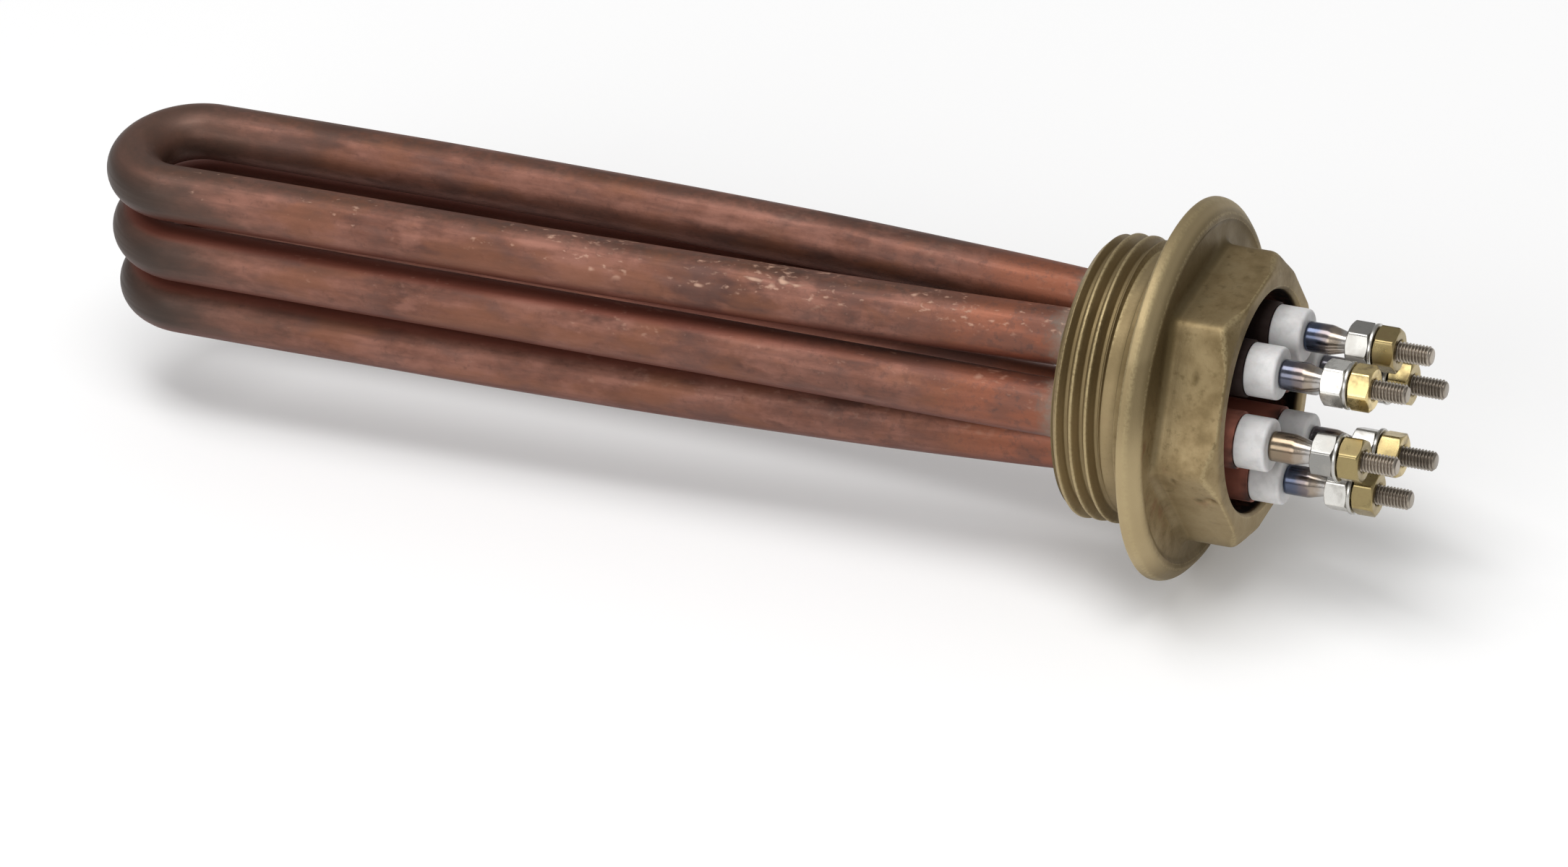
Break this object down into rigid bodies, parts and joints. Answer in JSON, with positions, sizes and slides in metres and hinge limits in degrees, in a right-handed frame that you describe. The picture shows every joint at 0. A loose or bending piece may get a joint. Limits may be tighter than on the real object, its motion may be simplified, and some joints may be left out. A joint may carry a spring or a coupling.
{
  "type": "tubular heating element",
  "caption": "Screw-in immersion heater: copper hairpin tubes in a brass hexagon plug with a flange, pipe thread and screw terminals, for a water boiler.",
  "frame": {"origin": "centre of the flange's sealing face, on the plug's axis", "axes": "+X along the axis towards the terminals, -X along the hairpins into the boiler, +Z square to the hairpins' planes, towards the first one, +Y in those planes"},
  "size_m": [0.2067, 0.0562, 0.0562],
  "materials": {
    "plug_brass": "dull turned and milled brass",
    "sheath_copper_top": "dull drawn copper tube, browned by heat",
    "magnesia_powder_top": "packed white powder",
    "resistance_wire_top": "resistance wire, grey oxide",
    "sheath_copper_middle": "dull drawn copper tube, browned by heat",
    "magnesia_powder_middle": "packed white powder",
    "resistance_wire_middle": "resistance wire, grey oxide",
    "sheath_copper_bottom": "dull drawn copper tube, browned by heat",
    "magnesia_powder_bottom": "packed white powder",
    "resistance_wire_bottom": "resistance wire, grey oxide",
    "braze_1": "braze fillet under grey flux residue",
    "bush_ceramic_1": "unglazed off-white ceramic",
    "pin_steel_1": "steel with a bluish heat tint",
    "lock_nut_1": "nickel plate",
    "washer_nickel_1": "nickel plate",
    "terminal_nut_1": "dull turned and milled brass",
    "braze_2": "braze fillet under grey flux residue",
    "bush_ceramic_2": "unglazed off-white ceramic",
    "pin_steel_2": "steel with a bluish heat tint",
    "lock_nut_2": "nickel plate",
    "washer_nickel_2": "nickel plate",
    "terminal_nut_2": "dull turned and milled brass",
    "braze_3": "braze fillet under grey flux residue",
    "bush_ceramic_3": "unglazed off-white ceramic",
    "pin_steel_3": "steel with a bluish heat tint",
    "lock_nut_3": "nickel plate",
    "washer_nickel_3": "nickel plate",
    "terminal_nut_3": "dull turned and milled brass",
    "braze_4": "braze fillet under grey flux residue",
    "bush_ceramic_4": "unglazed off-white ceramic",
    "pin_steel_4": "steel with a bluish heat tint",
    "lock_nut_4": "nickel plate",
    "washer_nickel_4": "nickel plate",
    "terminal_nut_4": "dull turned and milled brass",
    "braze_5": "braze fillet under grey flux residue",
    "bush_ceramic_5": "unglazed off-white ceramic",
    "pin_steel_5": "steel with a bluish heat tint",
    "lock_nut_5": "nickel plate",
    "washer_nickel_5": "nickel plate",
    "terminal_nut_5": "dull turned and milled brass",
    "braze_6": "braze fillet under grey flux residue",
    "bush_ceramic_6": "unglazed off-white ceramic",
    "pin_steel_6": "steel with a bluish heat tint",
    "lock_nut_6": "nickel plate",
    "washer_nickel_6": "nickel plate",
    "terminal_nut_6": "dull turned and milled brass"
  },
  "bodies": {
    "root": {"plug_body": "plug_brass", "sheath_top": "sheath_copper_top", "magnesia_top": "magnesia_powder_top", "resistance_coil_top": "resistance_wire_top", "sheath_middle": "sheath_copper_middle", "magnesia_middle": "magnesia_powder_middle", "resistance_coil_middle": "resistance_wire_middle", "sheath_bottom": "sheath_copper_bottom", "magnesia_bottom": "magnesia_powder_bottom", "resistance_coil_bottom": "resistance_wire_bottom", "braze_ring_1": "braze_1", "insulating_bush_1": "bush_ceramic_1", "terminal_pin_1": "pin_steel_1", "lock_nut_1": "lock_nut_1", "washer_1": "washer_nickel_1", "terminal_nut_1": "terminal_nut_1", "braze_ring_2": "braze_2", "insulating_bush_2": "bush_ceramic_2", "terminal_pin_2": "pin_steel_2", "lock_nut_2": "lock_nut_2", "washer_2": "washer_nickel_2", "terminal_nut_2": "terminal_nut_2", "braze_ring_3": "braze_3", "insulating_bush_3": "bush_ceramic_3", "terminal_pin_3": "pin_steel_3", "lock_nut_3": "lock_nut_3", "washer_3": "washer_nickel_3", "terminal_nut_3": "terminal_nut_3", "braze_ring_4": "braze_4", "insulating_bush_4": "bush_ceramic_4", "terminal_pin_4": "pin_steel_4", "lock_nut_4": "lock_nut_4", "washer_4": "washer_nickel_4", "terminal_nut_4": "terminal_nut_4", "braze_ring_5": "braze_5", "insulating_bush_5": "bush_ceramic_5", "terminal_pin_5": "pin_steel_5", "lock_nut_5": "lock_nut_5", "washer_5": "washer_nickel_5", "terminal_nut_5": "terminal_nut_5", "braze_ring_6": "braze_6", "insulating_bush_6": "bush_ceramic_6", "terminal_pin_6": "pin_steel_6", "lock_nut_6": "lock_nut_6", "washer_6": "washer_nickel_6", "terminal_nut_6": "terminal_nut_6"}
  },
  "joints": []
}
